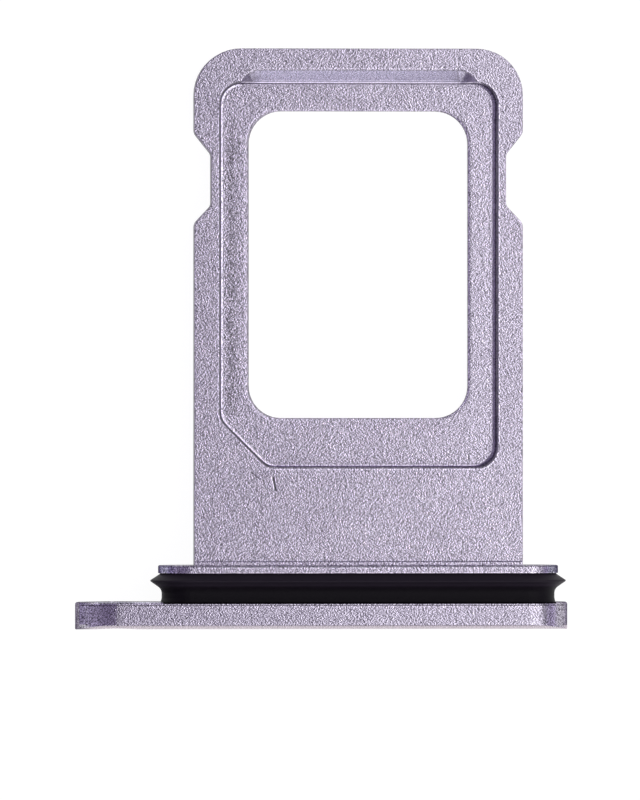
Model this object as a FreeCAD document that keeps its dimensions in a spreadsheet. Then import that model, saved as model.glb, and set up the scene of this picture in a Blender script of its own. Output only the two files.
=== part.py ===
import FreeCAD, Part
import math
import os

import Sketcher

os.makedirs("parts", exist_ok=True)

# ---------------------------------------------------------------------------
# Card tray for a pocket-size phone: a one-piece aluminium tray and its rubber
# seal.  Frame: +X along the face plate away from the eject hole, +Y towards
# the tip (the way it is pushed in), +Z up out of the card pocket.
# Origin: bottom centre of the bounding box.  All lengths in millimetres.
# ---------------------------------------------------------------------------

doc = FreeCAD.newDocument("card_tray")

# name, value, what it is
SIZES = [
    ("axis_height", 1.31, "height of the face plate's mid plane"),
    # carrier plate
    ("plate_left", -4.12, "left side of the carrier plate"),
    ("plate_right", 6.49, "right side of the carrier plate"),
    ("plate_tip", 9.37, "tip of the carrier plate"),
    ("plate_root", -7.44, "end of the plate, buried in the flange"),
    ("plate_low", 0.81, "underside of the plate"),
    ("plate_thick", 1.0, "thickness of the plate"),
    ("tip_round", 1.5, "plan radius of the two tip corners"),
    # detent notches in both long sides
    ("notch_deep", 0.545, "depth of a side notch"),
    ("notch_a", 3.732, "notch: start of the slope on the root side"),
    ("notch_b", 4.311, "notch: start of the flat bottom"),
    ("notch_c", 5.959, "notch: end of the flat bottom"),
    ("notch_d", 6.642, "notch: end of the slope on the tip side"),
    ("notch_out", 0.33, "radius where a notch leaves the side"),
    ("notch_in", 0.24, "radius at the bottom of a notch"),
    # card pocket
    ("pocket_left", -3.273, "left wall of the card pocket"),
    ("pocket_right", 5.632, "right wall of the card pocket"),
    ("pocket_low", -4.135, "root-side wall of the card pocket"),
    ("pocket_high", 8.255, "tip-side wall of the card pocket"),
    ("pocket_deep", 0.72, "depth of the card pocket"),
    ("pocket_cut", 1.528, "leg of the 45 degree keyed corner"),
    ("pocket_round", 0.68, "plan radius of the pocket corners"),
    ("cut_round", 0.62, "plan radius at the ends of the keyed corner"),
    # window under the card
    ("window_left", -2.34, "left side of the window"),
    ("window_right", 4.755, "right side of the window"),
    ("window_low", -2.553, "root side of the window"),
    ("window_high", 7.36, "tip side of the window"),
    ("window_round_high", 1.06, "plan radius of the two tip-side corners"),
    ("window_round_low", 1.04, "plan radius of the two root-side corners"),
    # lead-in ramp for the contacts, at the tip end of the pocket
    ("ramp_left", -2.68, "left end of the ramp at the plate's top"),
    ("ramp_right", 5.05, "right end of the ramp at the plate's top"),
    ("ramp_high", 8.69, "tip-side edge of the ramp"),
    ("ramp_low", 7.60, "ramp cut ends here, over the open pocket"),
    ("ramp_run", 0.435, "run, and depth, of the 45 degree ramp"),
    ("ramp_round", 0.645, "plan radius of the ramp's ends at the top"),
    # flange, groove core and face plate
    ("seal_mid", 1.19, "middle of the flange and the seal along X"),
    ("seal_reach", 5.47, "from there to the centre of each round end"),
    ("flange_back", -7.30, "side of the flange that carries the plate"),
    ("flange_thick", 0.26, "thickness of the flange"),
    ("flange_half", 1.0, "half height of the flange"),
    ("core_half", 0.62, "half height of the groove core"),
    ("groove_wide", 0.925, "width of the groove between flange and face"),
    ("face_half_long", 7.96, "half length of the face plate"),
    ("face_half_high", 1.31, "half height of the face plate"),
    ("face_thick", 0.885, "thickness of the face plate at its crown"),
    ("crown_high", 0.15, "how far the front bulges past its rim"),
    # eject-pin hole
    ("hole_mid", -6.635, "eject hole: place along X"),
    ("hole_round", 0.59, "eject hole: radius"),
    ("hole_flare", 0.125, "countersink of the hole's front mouth"),
    # edge breaks
    ("edge_face_back", 0.08, "rounding of the face plate's back rim"),
    ("edge_face_front", 0.03, "rounding of the face plate's front rim"),
    ("edge_flange", 0.05, "rounding of the flange's edge on the plate's side"),
    ("edge_flange_seal", 0.02, "rounding of the flange's edge at the seal"),
    ("edge_plate", 0.025, "rounding of the plate's outer edges"),
    ("edge_pocket", 0.065, "rounding of the pocket's mouth"),
    ("edge_floor", 0.08, "fillet at the foot of the pocket's wall"),
    ("edge_ramp", 0.05, "rounding where the ramp leaves the plate's top"),
    ("window_slope", 0.075, "width of the worn slope round the window"),
    ("window_drop", 0.010, "drop of that slope"),
    ("edge_window", 0.03, "rounding of the window's edge below the slope"),
    ("root_round", 0.02, "fillet between the plate's underside and the flange"),
    # low land left across the plate beside the flange
    ("land_high", 0.028, "height of the land above the plate's top"),
    ("land_end", -7.17, "foot of the land's slope"),
    ("land_slope", 0.035, "run of the land's slope"),
    ("land_inset", 0.03, "the land stops short of the plate's sides"),
    # rubber seal, measured from the flange and out from the flange's outline
    ("lip_foot_in", 0.06, "seal below the flange's outline beside it"),
    ("lip_up_y", 0.213, "lip: end of the rising side, from the flange"),
    ("lip_up_z", 0.234, "lip: end of the rising side, past the outline"),
    ("lip_down_y", 0.272, "lip: start of the falling side"),
    ("lip_tip_round", 0.035, "radius of the lip's tip"),
    ("neck_a_y", 0.43, "neck: start of the hollow"),
    ("neck_a_z", 0.008, "neck: height where the hollow starts"),
    ("neck_b_y", 0.652, "neck: end of the hollow"),
    ("neck_in", 0.115, "neck: depth below the flange's outline"),
    ("neck_round", 0.262, "radius of the hollow"),
    ("heel_y", 0.80, "heel: start of the flare at the face plate"),
    ("heel_in", 0.085, "heel: depth below the outline at the face"),
]

sheet = doc.addObject("Spreadsheet::Sheet", "Spec")
VALUE = {}
for row, (name, value, note) in enumerate(SIZES, start=1):
    sheet.set("A%d" % row, name)
    sheet.set("B%d" % row, repr(value))
    sheet.set("C%d" % row, note)
    sheet.setAlias("B%d" % row, name)
    VALUE[name] = value
doc.recompute()


class Dim:
    """A length: its number, and the sheet expression that drives it."""

    def __init__(self, number, text):
        self.number = number
        self.text = text

    def __add__(self, other):
        other = as_dim(other)
        return Dim(self.number + other.number, "(%s + %s)" % (self.text, other.text))

    def __sub__(self, other):
        other = as_dim(other)
        return Dim(self.number - other.number, "(%s - %s)" % (self.text, other.text))

    def __neg__(self):
        return Dim(-self.number, "(0 - %s)" % self.text)


def as_dim(value):
    return value if isinstance(value, Dim) else Dim(float(value), repr(float(value)))


def size(name):
    return Dim(VALUE[name], "Spec.%s" % name)


def plane_of(body, role):
    for feature in body.Origin.OriginFeatures:
        if feature.Role == role:
            return feature
    raise ValueError(role)


def new_sketch(body, name, role, offset):
    sketch = body.newObject("Sketcher::SketchObject", name)
    sketch.AttachmentSupport = [(plane_of(body, role), "")]
    sketch.MapMode = "FlatFace"
    sketch.AttachmentOffset = FreeCAD.Placement(
        FreeCAD.Vector(0, 0, offset.number), FreeCAD.Rotation()
    )
    sketch.setExpression(".AttachmentOffset.Base.z", offset.text)
    return sketch


def bind(sketch, index, name, dim):
    sketch.renameConstraint(index, name)
    sketch.setExpression("Constraints.%s" % name, dim.text)


def pin_point(sketch, geo, end, tag, x_dim, y_dim):
    """Hold one end of a line at a place measured from the sketch's origin."""
    index = sketch.addConstraint(
        Sketcher.Constraint("DistanceX", -1, 1, geo, end, x_dim.number)
    )
    bind(sketch, index, tag + "_x", x_dim)
    index = sketch.addConstraint(
        Sketcher.Constraint("DistanceY", -1, 1, geo, end, y_dim.number)
    )
    bind(sketch, index, tag + "_y", y_dim)


def outline(sketch, corners, bows=None, tag="p"):
    """A closed outline.  bows: {side number: (radius Dim, turns_left)} makes
    that side an arc between its corners instead of a straight line."""
    bows = bows or {}
    count = len(corners)
    first = sketch.GeometryCount
    ends = []
    for i in range(count):
        a, b = corners[i], corners[(i + 1) % count]
        start = FreeCAD.Vector(a[0].number, a[1].number, 0)
        end = FreeCAD.Vector(b[0].number, b[1].number, 0)
        if i in bows:
            radius, left = bows[i]
            chord = end - start
            middle = (start + end) * 0.5
            normal = FreeCAD.Vector(-chord.y, chord.x, 0).normalize()
            rise = math.sqrt(max(radius.number ** 2 - (chord.Length / 2) ** 2, 0))
            centre = middle + normal * (rise if left else -rise)
            # arcs run anticlockwise: one that the outline follows clockwise
            # is drawn from its far end
            p, q = (start, end) if left else (end, start)
            a0 = math.atan2(p.y - centre.y, p.x - centre.x)
            a1 = math.atan2(q.y - centre.y, q.x - centre.x)
            while a1 <= a0:
                a1 += 2 * math.pi
            circle = Part.Circle(centre, FreeCAD.Vector(0, 0, 1), radius.number)
            sketch.addGeometry(Part.ArcOfCircle(circle, a0, a1), False)
            ends.append((1, 2) if left else (2, 1))
        else:
            sketch.addGeometry(Part.LineSegment(start, end), False)
            ends.append((1, 2))

    for i in range(count):
        j = (i + 1) % count
        sketch.addConstraint(
            Sketcher.Constraint("Coincident", first + i, ends[i][1], first + j, ends[j][0])
        )
    for i in range(count):
        pin_point(sketch, first + i, ends[i][0], "%s%d" % (tag, i), *corners[i])
    for i, (radius, _) in sorted(bows.items()):
        index = sketch.addConstraint(
            Sketcher.Constraint("Radius", first + i, radius.number)
        )
        bind(sketch, index, "%s_bow%d" % (tag, i), radius)


def stadium(sketch, mid_x, mid_y, reach, half):
    """Two straight sides and two round ends, centred on (mid_x, mid_y)."""
    left = mid_x.number - reach.number
    right = mid_x.number + reach.number
    y, r = mid_y.number, half.number
    up = FreeCAD.Vector(0, 0, 1)
    g_low = sketch.addGeometry(
        Part.LineSegment(FreeCAD.Vector(left, y - r, 0), FreeCAD.Vector(right, y - r, 0)), False
    )
    g_right = sketch.addGeometry(
        Part.ArcOfCircle(
            Part.Circle(FreeCAD.Vector(right, y, 0), up, r), -math.pi / 2, math.pi / 2
        ),
        False,
    )
    g_high = sketch.addGeometry(
        Part.LineSegment(FreeCAD.Vector(right, y + r, 0), FreeCAD.Vector(left, y + r, 0)), False
    )
    g_left = sketch.addGeometry(
        Part.ArcOfCircle(
            Part.Circle(FreeCAD.Vector(left, y, 0), up, r), math.pi / 2, 3 * math.pi / 2
        ),
        False,
    )
    for a, b in ((g_low, g_right), (g_right, g_high), (g_high, g_left), (g_left, g_low)):
        sketch.addConstraint(Sketcher.Constraint("Tangent", a, 2, b, 1))
    sketch.addConstraint(Sketcher.Constraint("Horizontal", g_low))
    index = sketch.addConstraint(Sketcher.Constraint("Radius", g_right, r))
    bind(sketch, index, "half_height", half)
    pin_point(sketch, g_right, 3, "right_centre", mid_x + reach, mid_y)
    index = sketch.addConstraint(
        Sketcher.Constraint("DistanceX", -1, 1, g_left, 3, left)
    )
    bind(sketch, index, "left_centre_x", mid_x - reach)


def pad(body, name, sketch, length):
    feature = body.newObject("PartDesign::Pad", name)
    feature.Profile = sketch
    feature.Length = length.number
    feature.setExpression("Length", length.text)
    sketch.Visibility = False
    doc.recompute()
    return feature


def cut_volume(before, feature, label, low, high):
    """A cut has to remove what it is meant to remove."""
    gone = before - feature.Shape.Volume
    print("%-16s removes %.4f mm3" % (label, gone))
    if not low <= gone <= high:
        raise ValueError("%s removed %.4f mm3, outside %.3f to %.3f" % (label, gone, low, high))


def pocket(body, name, sketch, length):
    feature = body.newObject("PartDesign::Pocket", name)
    feature.Profile = sketch
    feature.Length = length.number
    feature.setExpression("Length", length.text)
    doc.recompute()
    return feature


def edges_where(feature, test):
    found = []
    for number, edge in enumerate(feature.Shape.Edges, start=1):
        if test(edge):
            found.append("Edge%d" % number)
    return found


def fillet(body, name, base, names, radius, expect=None):
    if expect is not None and len(names) != expect:
        raise ValueError("%s: %d edges found, %d expected" % (name, len(names), expect))
    feature = body.newObject("PartDesign::Fillet", name)
    feature.Base = (base, names)
    feature.Radius = radius.number
    feature.setExpression("Radius", radius.text)
    doc.recompute()
    if "Invalid" in feature.State or "Error" in feature.State or not feature.Shape.isValid():
        raise ValueError("%s failed" % name)
    return feature


def middle_of(edge):
    return edge.valueAt((edge.FirstParameter + edge.LastParameter) / 2)


def plane_at(edge, axis, value, slack=1e-4):
    box = edge.BoundBox
    low = getattr(box, axis + "Min")
    high = getattr(box, axis + "Max")
    return abs(low - value) < slack and abs(high - value) < slack


def is_upright(edge, x, y, low, high, slack=0.02):
    """A straight vertical edge at a plan position, within a height band."""
    if not isinstance(edge.Curve, Part.Line):
        return False
    a, b = edge.Vertexes[0].Point, edge.Vertexes[-1].Point
    return (
        math.hypot(a.x - x, a.y - y) < slack
        and math.hypot(b.x - x, b.y - y) < slack
        and min(a.z, b.z) > low - slack
        and max(a.z, b.z) < high + slack
    )


# ---------------------------------------------------------------------------
# The tray body
# ---------------------------------------------------------------------------
body = doc.addObject("PartDesign::Body", "TrayBody")
body.Label = "tray_body"

left, right = size("plate_left"), size("plate_right")
deep = size("notch_deep")
na, nb, nc, nd = size("notch_a"), size("notch_b"), size("notch_c"), size("notch_d")
tip, root = size("plate_tip"), size("plate_root")
plate_top = size("plate_low") + size("plate_thick")
mid_z = size("axis_height")

# carrier plate with a detent notch in each long side
sk = new_sketch(body, "PlateOutline", "XY_Plane", size("plate_low"))
plate_corners = [
    (left, root), (right, root),
    (right, na), (right - deep, nb), (right - deep, nc), (right, nd),
    (right, tip), (left, tip),
    (left, nd), (left + deep, nc), (left + deep, nb), (left, na),
]
outline(sk, plate_corners)
doc.recompute()
plate = pad(body, "Plate", sk, size("plate_thick"))

z0, z1 = VALUE["plate_low"], plate_top.number


def corner_edges(feature, corners):
    names = []
    for cx, cy in corners:
        names += edges_where(feature, lambda e: is_upright(e, cx, cy, z0, z1))
    return names


def plan(corner):
    return corner[0].number, corner[1].number


step = fillet(body, "TipCorners", plate,
              corner_edges(plate, [plan(plate_corners[6]), plan(plate_corners[7])]),
              size("tip_round"), 2)
step = fillet(body, "NotchOuter", step,
              corner_edges(step, [plan(plate_corners[i]) for i in (2, 5, 8, 11)]),
              size("notch_out"), 4)
step = fillet(body, "NotchInner", step,
              corner_edges(step, [plan(plate_corners[i]) for i in (3, 4, 9, 10)]),
              size("notch_in"), 4)

# the plate's long outer edges are broken before the flange closes them off
def on_rim(edge, z):
    box = edge.BoundBox
    if abs(box.ZMin - z) > 1e-4 or abs(box.ZMax - z) > 1e-4:
        return False
    return not (box.YMax < VALUE["plate_root"] + 0.01)


step = fillet(body, "PlateEdges", step,
              edges_where(step, lambda e: on_rim(e, z0) or on_rim(e, z1)),
              size("edge_plate"))

# low land across the plate's top, where the finishing cut stops short of the flange
sk = new_sketch(body, "LandProfile", "YZ_Plane", left + size("land_inset"))
land_foot, land_top = size("land_end"), plate_top + size("land_high")
outline(
    sk,
    [
        (root, plate_top - 0.3),
        (land_foot, plate_top - 0.3),
        (land_foot, plate_top),
        (land_foot - size("land_slope"), land_top),
        (root, land_top),
    ],
)
doc.recompute()
land = pad(body, "RootLand", sk, right - left - size("land_inset") - size("land_inset"))

# flange, groove core and face plate: three stadium slabs one behind the other
sk = new_sketch(body, "FlangeOutline", "XZ_Plane", -size("flange_back"))
stadium(sk, size("seal_mid"), mid_z, size("seal_reach"), size("flange_half"))
doc.recompute()
flange = pad(body, "Flange", sk, size("flange_thick"))

groove_start = size("flange_back") - size("flange_thick")
sk = new_sketch(body, "CoreOutline", "XZ_Plane", -groove_start)
stadium(sk, size("seal_mid"), mid_z, size("seal_reach"), size("core_half"))
doc.recompute()
core = pad(body, "GrooveCore", sk, size("groove_wide"))

face_back = groove_start - size("groove_wide")
face_front = face_back - size("face_thick")
sk = new_sketch(body, "FaceOutline", "XZ_Plane", -face_back)
stadium(sk, as_dim(0), mid_z, size("face_half_long") - size("face_half_high"), size("face_half_high"))
doc.recompute()
face = pad(body, "FacePlate", sk, size("face_thick"))

# crown: the front is a shallow barrel along X, cut from the slab
half = VALUE["face_half_high"]
bulge = VALUE["crown_high"]
barrel = (half ** 2 + bulge ** 2) / (2 * bulge)
barrel_dim = Dim(
    barrel,
    "((Spec.face_half_high * Spec.face_half_high + Spec.crown_high * Spec.crown_high)"
    " / (2 * Spec.crown_high))",
)
sk = new_sketch(body, "CrownProfile", "YZ_Plane", as_dim(0))
rim = face_front + size("crown_high")
outline(
    sk,
    [
        (rim, mid_z - size("face_half_high")),
        (rim, mid_z + size("face_half_high")),
        (rim - 0.6, mid_z + size("face_half_high")),
        (rim - 0.6, mid_z - size("face_half_high")),
    ],
    {0: (barrel_dim, False)},
)
doc.recompute()
before = body.Tip.Shape.Volume
crown = body.newObject("PartDesign::Pocket", "Crown")
crown.Profile = sk
crown.SideType = "Symmetric"
crown.Length = 18.0
crown.setExpression("Length", "Spec.face_half_long * 2 + 2")
doc.recompute()
cut_volume(before, crown, "crown", 1.5, 4.5)

# card pocket with its keyed corner
pl, pr = size("pocket_left"), size("pocket_right")
pb, pt = size("pocket_low"), size("pocket_high")
pc = size("pocket_cut")
sk = new_sketch(body, "PocketOutline", "XY_Plane", plate_top)
pocket_corners = [(pl + pc, pb), (pr, pb), (pr, pt), (pl, pt), (pl, pb + pc)]
outline(sk, pocket_corners)
doc.recompute()
before = body.Tip.Shape.Volume
card = pocket(body, "CardPocket", sk, size("pocket_deep"))
cut_volume(before, card, "card pocket", 70, 85)

z_ledge = z1 - VALUE["pocket_deep"]


def wall_edges(feature, corners, low, high):
    names = []
    for cx, cy in corners:
        names += edges_where(feature, lambda e: is_upright(e, cx, cy, low, high))
    return names


step = fillet(body, "PocketCorners", card,
              wall_edges(card, [plan(pocket_corners[i]) for i in (1, 2, 3)], z_ledge, z1),
              size("pocket_round"), 3)
step = fillet(body, "KeyedCorner", step,
              wall_edges(step, [plan(pocket_corners[i]) for i in (0, 4)], z_ledge, z1),
              size("cut_round"), 2)



def pocket_loop(e, z):
    """The pocket's outline at one height, with its corners and keyed corner."""
    if not plane_at(e, "Z", z):
        return False
    p = middle_of(e)
    return (
        VALUE["pocket_left"] - 0.01 < p.x < VALUE["pocket_right"] + 0.01
        and VALUE["pocket_low"] - 0.01 < p.y < VALUE["pocket_high"] + 0.01
    )


step = fillet(body, "PocketMouth", step, edges_where(step, lambda e: pocket_loop(e, z1)),
              size("edge_pocket"), 10)
step = fillet(body, "PocketFloor", step, edges_where(step, lambda e: pocket_loop(e, z_ledge)),
              size("edge_floor"), 10)

# window through the ledge
sk = new_sketch(body, "WindowOutline", "XY_Plane", plate_top)
wl, wr = size("window_left"), size("window_right")
wb, wt = size("window_low"), size("window_high")
window_corners = [(wl, wb), (wr, wb), (wr, wt), (wl, wt)]
outline(sk, window_corners)
doc.recompute()
before = body.Tip.Shape.Volume
window = pocket(body, "Window", sk, size("plate_thick") + 0.2)
cut_volume(before, window, "window", 15, 25)
step = fillet(body, "WindowCornersTip", window,
              wall_edges(window, [plan(window_corners[i]) for i in (2, 3)], z0, z_ledge),
              size("window_round_high"), 2)
step = fillet(body, "WindowCornersRoot", step,
              wall_edges(step, [plan(window_corners[i]) for i in (0, 1)], z0, z_ledge),
              size("window_round_low"), 2)

# lead-in ramp: a 45 degree cut with rounded ends at the pocket's tip wall
def round_box(sketch, x0, x1, y0, y1, radius):
    """Box with its two tip-side corners rounded and its root side square."""
    outline(
        sketch,
        [(x0, y0), (x1, y0), (x1, y1 - radius), (x1 - radius, y1),
         (x0 + radius, y1), (x0, y1 - radius)],
        {2: (radius, True), 4: (radius, True)},
    )


run = size("ramp_run")
top_sk = new_sketch(body, "RampTop", "XY_Plane", plate_top)
round_box(top_sk, size("ramp_left"), size("ramp_right"), size("ramp_low"), size("ramp_high"),
          size("ramp_round"))
foot_sk = new_sketch(body, "RampFoot", "XY_Plane", plate_top - run)
round_box(foot_sk, size("ramp_left") + run, size("ramp_right") - run,
          size("ramp_low") + run, size("ramp_high") - run, size("ramp_round") - run)
doc.recompute()
before = body.Tip.Shape.Volume
ramp = body.newObject("PartDesign::SubtractiveLoft", "LeadInRamp")
ramp.Profile = top_sk
ramp.Sections = [foot_sk]
ramp.Ruled = True
doc.recompute()
cut_volume(before, ramp, "ramp", 0.3, 0.8)

# eject-pin hole through the face plate, with a countersunk front mouth
hole_x = size("hole_mid")
sk = new_sketch(body, "HoleProfile", "XY_Plane", mid_z)
hr, hf = size("hole_round"), size("hole_flare")
outline(
    sk,
    [
        (hole_x, face_back + 0.3),
        (hole_x, face_front - 0.3),
        (hole_x + hr + hf + 0.3, face_front - 0.3),
        (hole_x + hr + hf + 0.3, face_front),
        (hole_x + hr + hf, face_front),
        (hole_x + hr, face_front + hf + 0.02),
        (hole_x + hr, face_back + 0.3),
    ],
)
doc.recompute()
before = body.Tip.Shape.Volume
hole = body.newObject("PartDesign::Groove", "EjectHole")
hole.Profile = sk
axis_line = sk.addGeometry(
    Part.LineSegment(
        FreeCAD.Vector(hole_x.number, face_front.number - 1, 0),
        FreeCAD.Vector(hole_x.number, face_back.number + 1, 0),
    ),
    True,
)
sk.addConstraint(Sketcher.Constraint("Vertical", axis_line))
sk.addConstraint(Sketcher.Constraint("PointOnObject", 0, 1, axis_line))
pin_index = sk.addConstraint(
    Sketcher.Constraint("DistanceY", -1, 1, axis_line, 1, face_front.number - 1)
)
bind(sk, pin_index, "axis_low", face_front - 1)
pin_index = sk.addConstraint(
    Sketcher.Constraint("DistanceY", -1, 1, axis_line, 2, face_back.number + 1)
)
bind(sk, pin_index, "axis_high", face_back + 1)
hole.ReferenceAxis = (sk, ["Axis0"])
hole.Angle = 360.0
doc.recompute()
cut_volume(before, hole, "eject hole", 0.8, 1.3)

# ---------------------------------------------------------------------------
# Edge breaks
# ---------------------------------------------------------------------------
y_front_of_flange = VALUE["flange_back"]
y_groove = groove_start.number
y_face = face_back.number


def half_of(edge, mid_x, reach, half_height):
    """True on the outline of a stadium of this size."""
    p = middle_of(edge)
    dx = max(abs(p.x - mid_x) - reach, 0.0)
    return abs(math.hypot(dx, p.z - VALUE["axis_height"]) - half_height) < 1e-3


face_reach = VALUE["face_half_long"] - VALUE["face_half_high"]
step = fillet(
    body, "FaceBackRim", hole,
    edges_where(hole, lambda e: plane_at(e, "Y", y_face)
                and half_of(e, 0.0, face_reach, VALUE["face_half_high"])),
    size("edge_face_back"), 4)


def root_line(e):
    p = middle_of(e)
    box = e.BoundBox
    return (
        plane_at(e, "Y", y_front_of_flange)
        and box.XLength > 5
        and abs(p.z - z0) < 1e-3
    )


step = fillet(body, "RootFillet", step, edges_where(step, root_line), size("root_round"), 1)

for name, y, radius in (("FlangeEdgesPlate", y_front_of_flange, "edge_flange"),
                        ("FlangeEdgesSeal", y_groove, "edge_flange_seal")):
    step = fillet(
        body, name, step,
        edges_where(step, lambda e: plane_at(e, "Y", y)
                    and half_of(e, VALUE["seal_mid"], VALUE["seal_reach"], VALUE["flange_half"])),
        size(radius), 4)


def window_mouth(e, z):
    if not plane_at(e, "Z", z):
        return False
    p = middle_of(e)
    return (
        VALUE["window_left"] - 0.01 < p.x < VALUE["window_right"] + 0.01
        and VALUE["window_low"] - 0.01 < p.y < VALUE["window_high"] + 0.01
    )


# the window's edge is worn to a shallow slope, and rounded below it
slope = body.newObject("PartDesign::Chamfer", "WindowSlope")
slope.Base = (step, edges_where(step, lambda e: window_mouth(e, z_ledge)))
slope.ChamferType = "Two distances"
slope.Size = VALUE["window_slope"]
slope.Size2 = VALUE["window_drop"]
slope.setExpression("Size", "Spec.window_slope")
slope.setExpression("Size2", "Spec.window_drop")
doc.recompute()
z_drop = z_ledge - VALUE["window_drop"]
if len(edges_where(slope, lambda e: window_mouth(e, z_drop))) != 8:
    slope.FlipDirection = not slope.FlipDirection
    doc.recompute()
step = fillet(body, "WindowEdge", slope,
              edges_where(slope, lambda e: window_mouth(e, z_drop)),
              size("edge_window"), 8)


def ramp_top(e):
    """The ramp's upper outline on the plate's top."""
    p = middle_of(e)
    return (
        plane_at(e, "Z", z1)
        and VALUE["ramp_left"] - 0.01 < p.x < VALUE["ramp_right"] + 0.01
        and VALUE["pocket_high"] + 0.08 < p.y < VALUE["ramp_high"] + 0.01
    )


print("ramp's upper edges:", len(edges_where(step, ramp_top)))
step = fillet(body, "RampTopEdge", step, edges_where(step, ramp_top), size("edge_ramp"), 3)


def front_rim(e):
    """Where the crown meets the slab's sides."""
    p = middle_of(e)
    dx = max(abs(p.x) - face_reach, 0.0)
    radial = math.hypot(dx, p.z - VALUE["axis_height"])
    return p.y < face_front.number + VALUE["crown_high"] + 0.01 and abs(
        radial - VALUE["face_half_high"]
    ) < 1e-3


step = fillet(body, "FaceFrontRim", step, edges_where(step, front_rim), size("edge_face_front"))

# ---------------------------------------------------------------------------
# The rubber seal: one profile carried round the groove core
# ---------------------------------------------------------------------------
seal = doc.addObject("PartDesign::Body", "RubberGasket")
seal.Label = "rubber_gasket"

path = new_sketch(seal, "SealPath", "XZ_Plane", -groove_start)
stadium(path, size("seal_mid"), mid_z, size("seal_reach"), size("core_half"))
doc.recompute()

profile = new_sketch(seal, "SealProfile", "YZ_Plane", size("seal_mid"))
crest = mid_z + size("flange_half")


def from_flange(name_or_dim):
    dim = size(name_or_dim) if isinstance(name_or_dim, str) else name_or_dim
    return groove_start - dim


outline(
    profile,
    [
        (from_flange(as_dim(0)), mid_z + size("core_half")),
        (from_flange(as_dim(0)), crest - size("lip_foot_in")),
        (from_flange(as_dim(0.02)), crest - size("lip_foot_in")),
        (from_flange("lip_up_y"), crest + size("lip_up_z")),
        (from_flange("lip_down_y"), crest + size("lip_up_z")),
        (from_flange("neck_a_y"), crest + size("neck_a_z")),
        (from_flange("neck_b_y"), crest - size("neck_in")),
        (from_flange("heel_y"), crest - size("neck_in")),
        (from_flange("groove_wide"), crest - size("heel_in")),
        (from_flange("groove_wide"), mid_z + size("core_half")),
    ],
    {3: (size("lip_tip_round"), True), 5: (size("neck_round"), False)},
)
doc.recompute()
ring = seal.newObject("PartDesign::AdditivePipe", "Seal")
ring.Profile = profile
ring.Spine = (path, [])
ring.Mode = "Frenet"
doc.recompute()

# ---------------------------------------------------------------------------
# Checks, then the files
# ---------------------------------------------------------------------------
for obj in doc.Objects:
    state = list(obj.State)
    if "Invalid" in state or "Error" in state:
        raise ValueError("%s: %s" % (obj.Name, state))

for part in (body, seal):
    shape = part.Shape
    if shape.isNull() or not shape.isValid():
        raise ValueError("%s has no valid shape" % part.Label)
    if len(shape.Solids) != 1:
        raise ValueError("%s has %d solids" % (part.Label, len(shape.Solids)))
    box = shape.BoundBox
    print("%-14s %.4f mm3  X %.3f %.3f  Y %.3f %.3f  Z %.3f %.3f" % (
        part.Label, shape.Volume, box.XMin, box.XMax, box.YMin, box.YMax, box.ZMin, box.ZMax))

# the seal's volume against its section carried along the path of its centroid
section = Part.Face(profile.Shape.Wires[0])
centre = section.CenterOfMass
loop = 4 * VALUE["seal_reach"] + 2 * math.pi * (centre.z - VALUE["axis_height"])
print("seal: section %.5f mm2 x loop %.4f mm = %.4f mm3" % (section.Area, loop, section.Area * loop))
if abs(section.Area * loop / seal.Shape.Volume - 1) > 0.01:
    raise ValueError("the seal's volume is off")

for part in (body, seal):
    part.Shape.exportStep("parts/%s.step" % part.Label)
print("written")
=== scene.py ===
import math

import bmesh
import bpy
from mathutils import Matrix, Vector

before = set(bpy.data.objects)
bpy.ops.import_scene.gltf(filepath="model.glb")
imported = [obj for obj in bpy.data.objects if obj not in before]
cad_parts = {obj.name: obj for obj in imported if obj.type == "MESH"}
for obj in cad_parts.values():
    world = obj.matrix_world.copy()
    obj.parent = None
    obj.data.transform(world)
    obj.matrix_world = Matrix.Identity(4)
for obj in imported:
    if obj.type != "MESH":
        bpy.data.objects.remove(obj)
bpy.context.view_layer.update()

MM = 0.001

# ---------------------------------------------------------------------------
# Camera: a long lens straight above the tray, leaning a little towards -X
# ---------------------------------------------------------------------------
AIM = Vector((-0.045, -1.970, 1.31)) * MM
DISTANCE = 0.380
LEAN_X, LEAN_Y = math.radians(3.15), math.radians(0.10)
PX_PER_MM = 30.96

back = Vector((-math.tan(LEAN_X), math.tan(LEAN_Y), 1.0)).normalized()
cam_data = bpy.data.cameras.new("camera")
cam_data.sensor_width = 36.0
cam_data.sensor_fit = "AUTO"
cam_data.lens = 36.0 * (DISTANCE * 1000.0) / (800.0 / PX_PER_MM)
cam_data.clip_start = 0.01
cam_data.clip_end = 20.0
cam = bpy.data.objects.new("camera", cam_data)
bpy.context.scene.collection.objects.link(cam)
cam.location = AIM + back * DISTANCE
# +Y of the frame stays up in the image
right = Vector((0, 1, 0)).cross(back).normalized()
up = back.cross(right).normalized()
cam.rotation_euler = Matrix((right, up, back)).transposed().to_euler()
bpy.context.scene.camera = cam


# ---------------------------------------------------------------------------
# Node helpers
# ---------------------------------------------------------------------------
def new_material(name):
    mat = bpy.data.materials.new(name)
    mat.use_nodes = True
    tree = mat.node_tree
    tree.nodes.clear()
    out = tree.nodes.new("ShaderNodeOutputMaterial")
    bsdf = tree.nodes.new("ShaderNodeBsdfPrincipled")
    tree.links.new(bsdf.outputs[0], out.inputs[0])
    return mat, tree, bsdf


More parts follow.
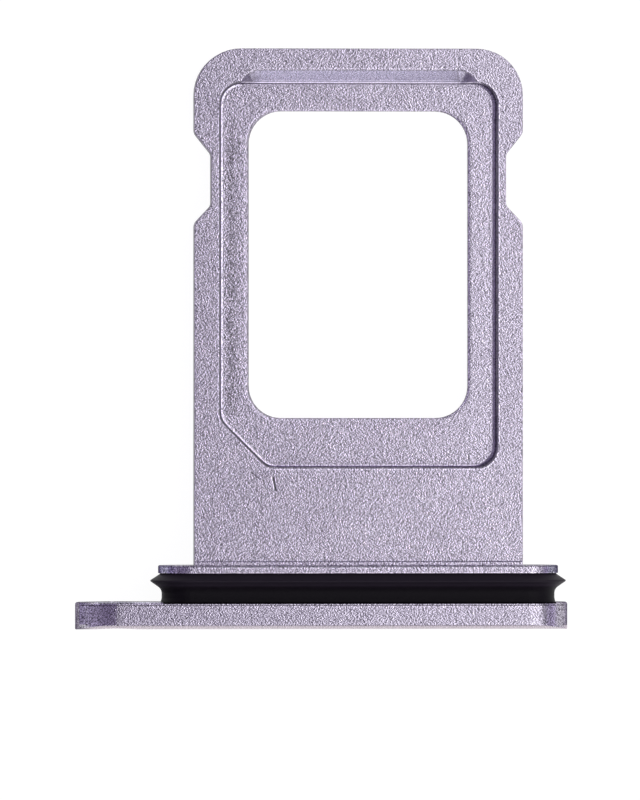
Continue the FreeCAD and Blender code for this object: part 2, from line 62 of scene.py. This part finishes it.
class Nodes:
    """Short names for the few node kinds that the materials use."""

    def __init__(self, tree):
        self.tree = tree

    def put(self, kind, inputs=(), **settings):
        node = self.tree.nodes.new(kind)
        for key, value in settings.items():
            setattr(node, key, value)
        for key, value in dict(inputs).items():
            if isinstance(value, bpy.types.NodeSocket):
                self.tree.links.new(value, node.inputs[key])
            else:
                node.inputs[key].default_value = value
        return node

    def math(self, operation, *values, clamp=False):
        return self.put("ShaderNodeMath", dict(enumerate(values)),
                        operation=operation, use_clamp=clamp).outputs[0]

    def vector(self, operation, *values, out=0):
        return self.put("ShaderNodeVectorMath", dict(enumerate(values)),
                        operation=operation).outputs[out]

    def ramp(self, value, lo, hi, to_lo=0.0, to_hi=1.0, smooth=False):
        node = self.put("ShaderNodeMapRange",
                        {"Value": value, "From Min": lo, "From Max": hi,
                         "To Min": to_lo, "To Max": to_hi})
        if smooth:
            node.interpolation_type = "SMOOTHSTEP"
        return node.outputs[0]

    def noise(self, where, scale, detail=0.0, rough=0.5):
        return self.put("ShaderNodeTexNoise",
                        {"Vector": where, "Scale": scale, "Detail": detail,
                         "Roughness": rough}).outputs[0]

    def band(self, value, lo, hi, soft=0.008):
        """1 between lo and hi (mm), 0 outside."""
        return self.math("MULTIPLY",
                         self.ramp(value, (lo - soft) * MM, (lo + soft) * MM),
                         self.ramp(value, (hi - soft) * MM, (hi + soft) * MM, 1.0, 0.0))

    def outline_gap(self, x, y, left, right, low, high, radius):
        """Distance (m) to a rounded rectangle's outline (mm), negative inside it."""
        half_x, half_y = (right - left) / 2 - radius, (high - low) / 2 - radius
        qx = self.math("SUBTRACT", self.math("ABSOLUTE", self.math(
            "SUBTRACT", x, (left + right) / 2 * MM)), half_x * MM)
        qy = self.math("SUBTRACT", self.math("ABSOLUTE", self.math(
            "SUBTRACT", y, (low + high) / 2 * MM)), half_y * MM)
        ox, oy = self.math("MAXIMUM", qx, 0.0), self.math("MAXIMUM", qy, 0.0)
        outer = self.math("SQRT", self.math("ADD", self.math("MULTIPLY", ox, ox),
                                            self.math("MULTIPLY", oy, oy)))
        inner = self.math("MINIMUM", self.math("MAXIMUM", qx, qy), 0.0)
        return self.math("SUBTRACT", self.math("ADD", outer, inner), radius * MM)

    def line(self, where, a, b, width):
        """1 on the line from a to b (mm in the XY plane), 0 at width (mm) from it."""
        a3 = Vector((a[0], a[1], 0.0)) * MM
        b3 = Vector((b[0], b[1], 0.0)) * MM
        span = b3 - a3
        flat = self.vector("MULTIPLY", where, (1.0, 1.0, 0.0))
        rel = self.vector("SUBTRACT", flat, tuple(a3))
        dot = self.vector("DOT_PRODUCT", rel, tuple(span), out=1)
        t = self.math("DIVIDE", dot, span.length_squared, clamp=True)
        scaled = self.put("ShaderNodeVectorMath", {0: tuple(span), 3: t},
                          operation="SCALE").outputs[0]
        gap = self.vector("DISTANCE", rel, scaled, out=1)
        return self.ramp(gap, 0.0, width * MM, 1.0, 0.0)


def assign(obj, mat):
    obj.data.materials.clear()
    obj.data.materials.append(mat)


# ---------------------------------------------------------------------------
# Anodised aluminium, bead blasted, with marks of a used tray and painted highlights and shade along its edges
# ---------------------------------------------------------------------------
GRAIN = 27000.0      # per metre: grains of about 0.04 mm
GRAIN_HEIGHT = 4.0e-6
SPECKLE = 0.80
# strength of the painted glint and shade of the grain's facets
GLINT = 1.75


def aluminium():
    mat, tree, bsdf = new_material("anodised_aluminium_blasted")
    n = Nodes(tree)
    bsdf.inputs["Metallic"].default_value = 0.98
    bsdf.inputs["IOR"].default_value = 1.5
    where = n.put("ShaderNodeTexCoord").outputs["Object"]
    x, y, z = n.put("ShaderNodeSeparateXYZ", {0: where}).outputs

    def both(*masks):
        out = masks[0]
        for mask in masks[1:]:
            out = n.math("MULTIPLY", out, mask)
        return out

    def without(mask):
        return n.math("SUBTRACT", 1.0, mask)

    # regions of the tray, from their places in the frame
    pocket = n.math(
        "SMOOTH_MAX",
        n.outline_gap(x, y, -3.273, 5.632, -4.135, 8.255, 0.68),
        n.math("MULTIPLY", n.math("SUBTRACT", -5.880 * MM, n.math("ADD", x, y)),
               math.sqrt(0.5)),
        0.3 * MM)
    window = n.outline_gap(x, y, -2.34, 4.755, -2.553, 7.36, 1.05)
    upper = n.ramp(z, 0.90 * MM, 0.95 * MM)
    below_top = n.ramp(z, 1.78 * MM, 1.80 * MM, 1.0, 0.0)
    on_top = n.ramp(z, 1.78 * MM, 1.80 * MM)
    in_left = both(n.ramp(x, -1.75 * MM, -1.55 * MM, 1.0, 0.0),
                   without(both(n.ramp(y, 7.4 * MM, 7.5 * MM),
                                n.ramp(x, -2.66 * MM, -2.56 * MM))))
    in_right = n.ramp(x, 5.05 * MM, 5.20 * MM)
    mid = both(without(in_left), without(in_right))
    in_low = both(mid, n.ramp(y, -3.8 * MM, -3.6 * MM, 1.0, 0.0))
    in_tip = both(mid, n.ramp(y, 8.0 * MM, 8.1 * MM))
    ramp_span = both(n.ramp(x, -2.66 * MM, -2.62 * MM), n.ramp(x, 4.99 * MM, 5.03 * MM, 1.0, 0.0))
    on_ramp = both(n.band(y, 8.275, 8.70), ramp_span, below_top, upper)
    ramp_mid = both(on_ramp, n.ramp(x, -2.45 * MM, -1.9 * MM), n.ramp(x, 4.2 * MM, 4.8 * MM, 1.0, 0.0))

    # edge tint: steep flanks reflect darkly; the tint is raised on the face plate's front crown, at the ends of its
    # rear edge and along the foot of the pocket's wall, as painted highlights in their grazing reflection
    crown = both(n.ramp(y, -9.25 * MM, -9.22 * MM, 1.0, 0.0), n.ramp(x, -7.85 * MM, -7.35 * MM))
    rear = both(n.ramp(z, 2.28 * MM, 2.36 * MM), n.band(y, -8.565, -8.47),
                without(n.band(x, -5.17, 7.53)))
    foot = n.math("ADD", both(in_low, upper, n.band(pocket, -0.044, 0.0)),
                  both(in_right, upper, n.band(pocket, -0.030, 0.020),
                       n.ramp(z, 1.40 * MM, 1.45 * MM, 1.0, 0.0)))
    tree.links.new(n.put("ShaderNodeCombineXYZ", {
        channel: n.math("ADD", n.math("ADD", steep, n.math("MULTIPLY", foot, 0.45)),
                        n.math("ADD", n.math("MULTIPLY", crown, to_crown),
                               n.math("MULTIPLY", rear, to_rear)))
        for channel, (steep, to_crown, to_rear) in enumerate((
            (0.12, 0.76, 0.58), (0.10, 0.70, 0.64), (0.16, 0.68, 0.80)))}).outputs[0],
        bsdf.inputs["Specular Tint"])

    # blasted grain; the lead-in ramp was cut after blasting, so it is smoother
    grainy = n.math("SUBTRACT", 1.0, n.math("MULTIPLY", on_ramp, 0.8))
    # the cells' own grid is turned out of line with the tray's faces
    def turned(offset, stretch, angles):
        moved = n.vector("ADD", n.vector("MULTIPLY", where, (1.0, stretch, 1.0)), offset)
        return n.put("ShaderNodeMapping", {"Vector": moved, "Rotation": angles}).outputs[0]

    def cells(place, scale, out):
        return n.put("ShaderNodeTexVoronoi", {"Vector": place, "Scale": scale}).outputs[out]

    # painted glint and shade of the grain's facets as lit from +X: the cell tone just right of a point minus the tone
    # just left of it
    def shade(offset):
        place = turned((0.031 + offset, 0.0, 0.0), 1.70, (0.83, 0.39, 0.52))
        return n.put("ShaderNodeSeparateXYZ", {0: cells(place, GRAIN * 1.05, "Color")}).outputs[0]

    dimple = cells(turned((0.0, 0.0, 0.0), 1.55, (0.61, 0.47, 0.83)), GRAIN * 0.9, "Distance")
    grit = n.noise(turned((0.017, 0.0, 0.005), 1.55, (0.35, 0.71, 0.22)), GRAIN * 1.1, 0.0)
    speck = n.put("ShaderNodeSeparateXYZ", {0: cells(
        turned((0.013, 0.007, 0.019), 1.1, (0.29, 0.93, 0.47)), GRAIN * 1.3, "Color")}).outputs[0]
    grain_tone_and_glint = n.math("ADD",
                   n.math("MULTIPLY", n.math("SUBTRACT", speck, 0.5), SPECKLE),
                   n.math("MULTIPLY", n.math("SUBTRACT", shade(14.0e-6), shade(-14.0e-6)), GLINT))
    # the painted shade side of a grain is deeper than its painted glint is bright
    grain_tone_and_glint = n.math("SUBTRACT", n.math("MULTIPLY", grain_tone_and_glint, 1.30),
                   n.math("MULTIPLY", n.math("ABSOLUTE", grain_tone_and_glint), 0.42))
    # grain tone and painted glint are 1.35 times stronger on the left ledge, standing in for the grain's stronger
    # glint near the edge of the softbox's light
    left_ledge_contrast = both(n.ramp(x, -2.45 * MM, -2.30 * MM, 1.0, 0.0), n.ramp(z, 0.90 * MM, 0.95 * MM),
                  n.ramp(z, 1.30 * MM, 1.40 * MM, 1.0, 0.0))
    grain_tone_and_glint = n.math("MULTIPLY", grain_tone_and_glint, n.ramp(left_ledge_contrast, 0.0, 1.0, 1.0, 1.35))
    # the pocket's rim was cut after blasting, so its lines run evenly
    cut = both(upper, n.band(pocket, -0.115, 0.062, 0.012))
    grain_tone_and_glint = n.math("MULTIPLY", grain_tone_and_glint, n.ramp(cut, 0.0, 1.0, 1.0, 0.45))
    gain = n.math("ADD", 1.07, n.math("MULTIPLY", grain_tone_and_glint, grainy))
    gain = n.math("MAXIMUM", gain, 0.15)

    # colour: lilac dye, taken a little unevenly
    cloud = n.noise(where, 900.0, 3.0)
    tint = n.put("ShaderNodeValToRGB", {"Fac": cloud})
    tint.color_ramp.elements[0].position = 0.3
    tint.color_ramp.elements[0].color = (0.379, 0.355, 0.409, 1)
    tint.color_ramp.elements[1].position = 0.7
    tint.color_ramp.elements[1].color = (0.403, 0.380, 0.433, 1)

    # painted highlights and painted shade: bright and dark lines beside the edges, and lighter or darker patches on
    # the ramp, the ends of the flange and face plate, and the left ledge
    ledge_band = both(n.ramp(x, -3.08 * MM, -2.95 * MM),
                      n.ramp(x, -2.93 * MM, -2.58 * MM, 1.0, 0.0),
                      n.ramp(y, -2.6 * MM, -2.2 * MM), n.ramp(y, 6.2 * MM, 7.4 * MM, 1.0, 0.0),
                      below_top, upper)
    face_top = n.ramp(z, 1.9 * MM, 2.0 * MM)
    flange = both(n.band(y, -7.57, -7.29), n.ramp(z, 1.20 * MM, 1.45 * MM))
    flange_left = both(flange, n.ramp(x, -4.95 * MM, -4.70 * MM, 1.0, 0.0))
    flange_right = both(flange, n.ramp(x, 7.15 * MM, 7.35 * MM))
    rim = both(n.band(y, -9.20, -8.50), n.ramp(z, 1.20 * MM, 1.45 * MM))
    end_left = both(rim, n.ramp(x, -7.86 * MM, -7.83 * MM), n.ramp(x, -7.70 * MM, -7.45 * MM, 1.0, 0.0))
    win_right = both(n.ramp(x, 4.2 * MM, 4.4 * MM), upper)
    painted_highlights_and_shade = [
        # painted highlights and painted shade along the edges of the plate, pocket, window, ramp and root
        (both(on_top, n.band(x, -4.130, -4.075), n.band(y, -7.1, 8.0, 0.1)), 0.18),
        (both(in_left, upper, n.band(pocket, -0.105, -0.030)), 0.75),
        (both(in_left, upper, n.band(pocket, 0.0, 0.058)), -0.60),
        (both(in_left, upper, n.band(pocket, 0.065, 0.100)), 0.30),
        (both(in_right, upper, n.band(pocket, -0.30, -0.15, 0.05)), 0.12),
        (both(in_right, upper, n.band(pocket, -0.145, -0.078)), 0.55),
        (both(in_right, upper, n.band(pocket, -0.020, 0.030, 0.006), n.ramp(z, 1.40 * MM, 1.45 * MM, 1.0, 0.0)), 1.4),
        (both(in_right, n.band(pocket, -0.020, 0.015), n.ramp(z, 1.45 * MM, 1.50 * MM)), -0.45),
        (both(in_right, upper, n.band(pocket, 0.015, 0.074)), -0.40),
        (both(in_right, upper, n.band(pocket, 0.080, 0.115)), 0.45),
        (both(n.ramp(x, 4.80 * MM, 4.86 * MM), below_top, upper, n.ramp(pocket, -0.10 * MM, -0.20 * MM)), 0.05),
        (both(in_low, upper, n.band(pocket, -0.070, -0.036)), 0.85),
        (both(in_low, upper, n.band(pocket, -0.036, -0.002)), 1.30),
        (both(in_low, upper, n.band(pocket, 0.062, 0.095)), 0.38),
        (both(in_tip, below_top, upper, n.band(pocket, -0.022, 0.045)), 0.90),
        (both(in_tip, below_top, upper, n.band(pocket, 0.080, 0.112), ramp_mid), 0.35),
        (both(on_top, n.band(y, 8.705, 8.745), n.band(x, -2.05, 4.45, 0.1)), 0.30),
        (both(n.band(y, 8.645, 8.680), ramp_span), -0.25),
        (ramp_mid, 0.66),
        (both(in_left, upper, n.band(window, 0.080, 0.150)), 0.36),
        (both(in_left, upper, n.band(window, 0.0, 0.060)), -0.45),
        (both(win_right, n.band(window, 0.022, 0.060)), 1.4),
        (both(win_right, n.band(window, 0.064, 0.120)), -0.22),
        (both(n.ramp(y, 7.2 * MM, 7.3 * MM), upper, n.band(window, 0.0, 0.07)), 0.15),
        # painted shade: a speckled darker band on the left ledge
        (both(ledge_band, n.ramp(speck, 0.3, 0.7, 1.6, 0.4)), -0.34),
        (both(on_top, n.band(y, -7.325, -7.195), n.band(x, -4.12, 6.49)), 0.42),
        (both(on_top, n.band(y, -7.365, -7.330)), -0.45),
        (both(on_top, n.band(y, -7.400, -7.368)), 0.30),
        (both(on_top, n.band(y, -7.590, -7.535)), 1.40),
        # painted shadow on the face plate beside the gasket
        (both(face_top, n.band(y, -8.536, -8.380), n.band(x, -5.17, 7.53)), -0.95),
        (both(n.ramp(z, 2.32 * MM, 2.40 * MM), n.band(y, -8.540, -8.475), without(n.band(x, -5.17, 7.53))), 1.10),
        (both(n.band(y, -8.530, -8.440), n.band(x, -7.26, -6.12, 0.03), n.ramp(z, 2.30 * MM, 2.40 * MM)), -0.65),
        (both(face_top, n.band(y, -8.600, -8.568)), -0.60),
        (both(face_top, n.band(y, -8.640, -8.604)), 0.20),
        (both(face_top, n.band(y, -9.180, -9.147)), 0.12),
        (crown, 0.12),
        # painted shade on the flange's ends and the face plate's left end, painted highlights beside them
        (flange_left, -0.32),
        (both(flange, n.band(x, -4.62, -4.31, 0.03)), 0.32),
        (flange_right, -0.27),
        (end_left, -0.46),
        (both(rim, n.ramp(x, -7.93 * MM, -7.90 * MM, 1.0, 0.0)), 0.60),
        (both(rim, n.band(x, -7.10, -6.69, 0.02)), 0.20),
        (both(rim, n.ramp(x, -6.69 * MM, -6.66 * MM), n.ramp(x, -6.64 * MM, -6.40 * MM, 1.0, 0.0)), -0.24),
        (both(rim, n.band(x, 7.06, 7.20, 0.03)), -0.30),
        (both(rim, n.ramp(x, 7.76 * MM, 7.86 * MM)), 0.50),
        (both(rim, n.band(x, 7.24, 7.55, 0.03)), 0.13),
    ]
    for mask, change in painted_highlights_and_shade:
        gain = n.math("MULTIPLY", gain, n.math("ADD", 1.0, n.math("MULTIPLY", mask, change)))

    # marks: two nicks near the left corner, thin scratches by the ramp; the nicks' dark lines are partly painted
    # shade on the groove walls facing away from the light, and the bright lines beside them are painted highlights on
    # the walls facing it
    mark_and_painted_shade = n.math("ADD", n.line(where, (-1.588, -4.475), (-1.508, -4.875), 0.046),
                  n.math("ADD",
                         n.math("MULTIPLY", n.line(where, (-1.540, -4.850), (-1.654, -4.822), 0.022), 0.6),
                         n.math("MULTIPLY", n.line(where, (-2.308, -4.283), (-2.026, -4.522), 0.030), 0.9)))
    painted_glint_and_scratch = n.math("ADD", n.line(where, (-1.640, -4.480), (-1.560, -4.850), 0.032),
                   n.math("ADD",
                          n.math("MULTIPLY", n.line(where, (-2.330, -4.245), (-2.010, -4.480), 0.024), 0.5),
                          n.math("ADD", n.line(where, (4.443, 8.869), (5.080, 8.320), 0.024),
                                 n.math("MULTIPLY", n.line(where, (5.985, 6.902), (6.376, 6.546), 0.020), 0.5))))
    mark_and_painted_shade, painted_glint_and_scratch = both(mark_and_painted_shade, on_top), both(painted_glint_and_scratch, on_top)
    gain = n.math("MULTIPLY", gain, n.math("SUBTRACT", 1.0, n.math("MULTIPLY", mark_and_painted_shade, 0.95, clamp=True)))
    gain = n.math("ADD", gain, n.math("MULTIPLY", painted_glint_and_scratch, 0.60))
    gain = n.math("MINIMUM", gain, 2.4)
    colour = n.put("ShaderNodeVectorMath", {0: tint.outputs["Color"], 3: gain},
                   operation="SCALE").outputs[0]
    # bluer colour on the ramp, the face plate's left end and the flange's ends
    green, blue = 1.0, 1.0
    for mask, to_green, to_blue in ((ramp_mid, 0.02, 0.08), (end_left, -0.08, 0.22),
                                    (flange_left, 0.0, 0.21), (flange_right, 0.04, 0.15)):
        green = n.math("ADD", green, n.math("MULTIPLY", mask, to_green))
        blue = n.math("ADD", blue, n.math("MULTIPLY", mask, to_blue))
    cooler = n.put("ShaderNodeCombineXYZ", {0: 1.0, 1: green, 2: blue}).outputs[0]
    tree.links.new(n.vector("MULTIPLY", colour, cooler), bsdf.inputs["Base Color"])

    # relief: the grain, and the marks as shallow grooves
    relief = n.math("MULTIPLY", n.math("ADD", dimple, n.math("MULTIPLY", grit, 0.9)), grainy)
    relief = n.math("MULTIPLY", relief, GRAIN_HEIGHT)
    relief = n.math("SUBTRACT", relief, n.math("MULTIPLY", mark_and_painted_shade, 5.0e-6))
    bump = n.put("ShaderNodeBump", {"Height": relief, "Strength": 1.0, "Distance": 1.0})
    tree.links.new(bump.outputs[0], bsdf.inputs["Normal"])
    tree.links.new(n.ramp(grit, 0.3, 0.7, 0.15, 0.20), bsdf.inputs["Roughness"])
    return mat


def rubber():
    mat, tree, bsdf = new_material("black_silicone_rubber")
    n = Nodes(tree)
    bsdf.inputs["IOR"].default_value = 1.40
    bsdf.inputs["Specular IOR Level"].default_value = 0.15
    where = n.put("ShaderNodeTexCoord").outputs["Object"]
    y = n.put("ShaderNodeSeparateXYZ", {0: where}).outputs[1]
    soft = n.noise(where, 5000.0, 2.0)
    tint = n.put("ShaderNodeValToRGB", {"Fac": soft})
    tint.color_ramp.elements[0].color = (0.0044, 0.0034, 0.0050, 1)
    tint.color_ramp.elements[1].color = (0.0062, 0.0050, 0.0070, 1)
    # painted light: the lip's upward-facing slope is paler, and a painted highlight runs along its crease
    lip_painted_light = n.math("ADD", n.ramp(y, -8.03 * MM, -7.96 * MM, 0.0, 1.1),
                 n.ramp(y, -8.11 * MM, -8.03 * MM, 1.0, 1.8))
    crease_highlight = n.ramp(n.math("ABSOLUTE", n.math("SUBTRACT", y, -7.935 * MM)),
                    0.02 * MM, 0.04 * MM, 1.45, 1.0)
    colour = n.put("ShaderNodeVectorMath",
                   {0: tint.outputs["Color"], 3: n.math("MULTIPLY", lip_painted_light, crease_highlight)},
                   operation="SCALE").outputs[0]
    tree.links.new(colour, bsdf.inputs["Base Color"])
    tree.links.new(n.ramp(soft, 0.0, 1.0, 0.45, 0.60), bsdf.inputs["Roughness"])
    bump = n.put("ShaderNodeBump", {"Height": soft, "Strength": 0.4, "Distance": 2.0e-6})
    tree.links.new(bump.outputs[0], bsdf.inputs["Normal"])
    return mat


assign(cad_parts["tray_body"], aluminium())
assign(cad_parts["rubber_gasket"], rubber())

# ---------------------------------------------------------------------------
# Floor: pale, and tilted so that the tray rests on its tip and its face plate
# ---------------------------------------------------------------------------
floor_mat, tree, bsdf = new_material("pale_floor")
bsdf.inputs["Base Color"].default_value = (0.10, 0.10, 0.10, 1)
bsdf.inputs["Roughness"].default_value = 0.9
bsdf.inputs["Specular IOR Level"].default_value = 0.1
bsdf.inputs["Emission Color"].default_value = (1, 1, 1, 1)
bsdf.inputs["Emission Strength"].default_value = 0.96
mesh = bpy.data.meshes.new("floor")
bm = bmesh.new()
bmesh.ops.create_grid(bm, x_segments=1, y_segments=1, size=3.0)
bm.to_mesh(mesh)
bm.free()
floor = bpy.data.objects.new("floor", mesh)
bpy.context.scene.collection.objects.link(floor)
assign(floor, floor_mat)
# it touches the face plate's lower edge and the lower edge of the tip
low_a = Vector((0, -8.9, 0.0)) * MM
low_b = Vector((0, 9.31, 0.81)) * MM
floor.rotation_euler = (math.atan2(low_b.z - low_a.z, low_b.y - low_a.y), 0, 0)
floor.location = low_a + Vector((0, 0, -0.012 * MM))


# ---------------------------------------------------------------------------
# Light: one large softbox overhead and to the right, a low one in front, and
# two dim fills at the sides
# ---------------------------------------------------------------------------
def area(name, centre, target, wide, tall, radiance, color=(1, 1, 1)):
    data = bpy.data.lights.new(name, "AREA")
    data.shape = "RECTANGLE"
    data.size = wide
    data.size_y = tall
    data.energy = radiance * math.pi * wide * tall
    data.color = color
    obj = bpy.data.objects.new(name, data)
    bpy.context.scene.collection.objects.link(obj)
    obj.location = centre
    direction = Vector(target) - Vector(centre)
    obj.rotation_euler = direction.to_track_quat("-Z", "Y").to_euler()
    return obj


def overhead(name, x0, x1, y0, y1, height, radiance):
    mid = ((x0 + x1) / 2, (y0 + y1) / 2)
    return area(name, (*mid, height), (*mid, 0), x1 - x0, y1 - y0, radiance)


H = 0.15
overhead("softbox", 0.0045, 0.125, -0.30, 0.14, H, 1.66)
overhead("softbox_edge", 0.125, 0.21, -0.30, 0.14, H, 0.8)
area("front_low", (0.06, -0.45, 0.10), (0, 0, 0.04), 0.5, 0.24, 1.2)
area("fill_left", (-0.45, 0.0, 0.17), (0, 0, 0), 0.9, 0.42, 0.26, (1.0, 0.92, 1.18))
area("fill_right", (0.45, 0.0, 0.11), (0, 0, 0), 0.9, 0.26, 0.34, (1.0, 0.92, 1.18))

world = bpy.data.worlds.new("studio")
world.use_nodes = True
bg = world.node_tree.nodes["Background"]
bg.inputs["Color"].default_value = (0.25, 0.21, 0.33, 1)
bg.inputs["Strength"].default_value = 1.0
bpy.context.scene.world = world

bpy.context.scene.view_settings.view_transform = "Standard"
bpy.context.scene.view_settings.look = "None"
bpy.context.scene.view_settings.exposure = 0.0
bpy.context.scene.view_settings.gamma = 1.0
